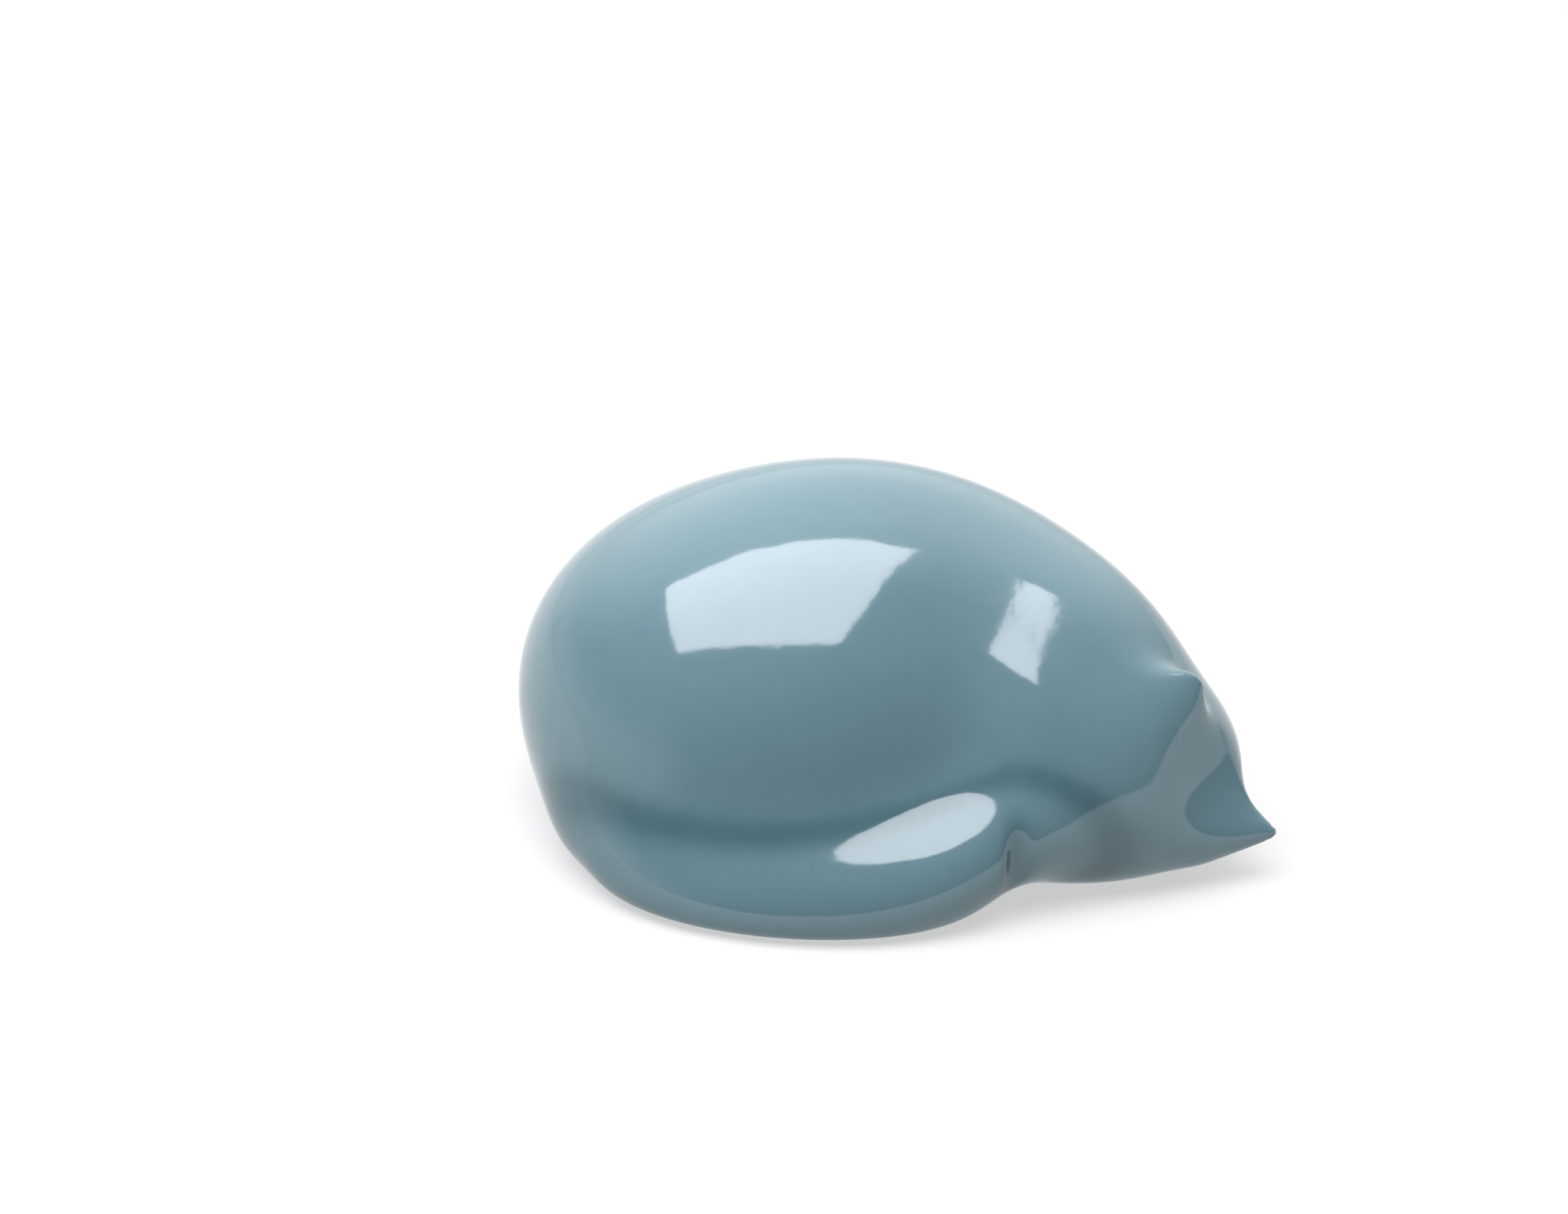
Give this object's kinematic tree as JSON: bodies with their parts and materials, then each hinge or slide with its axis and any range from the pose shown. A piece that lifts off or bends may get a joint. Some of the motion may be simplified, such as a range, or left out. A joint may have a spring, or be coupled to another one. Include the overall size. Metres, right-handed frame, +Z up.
{
  "type": "ceramic cat figurine",
  "caption": "Smooth glazed ceramic cat curled up asleep, tail wrapped round its front, ears pointing sideways; an ornament that stands on its flat foot.",
  "frame": {"origin": "middle of the figure's footprint box, at table level", "axes": "+Z up; +X from the rump towards the ears; -Y towards the side the tail lies on, the side that is seen in the picture"},
  "size_m": [0.1747, 0.131, 0.084],
  "materials": {
    "glaze": "gloss",
    "bare_clay": "matte"
  },
  "bodies": {
    "root": {"body": "glaze", "head": "glaze", "tail": "glaze", "ear_upper": "glaze", "ear_lower": "glaze", "base_disc": "bare_clay"}
  },
  "joints": []
}
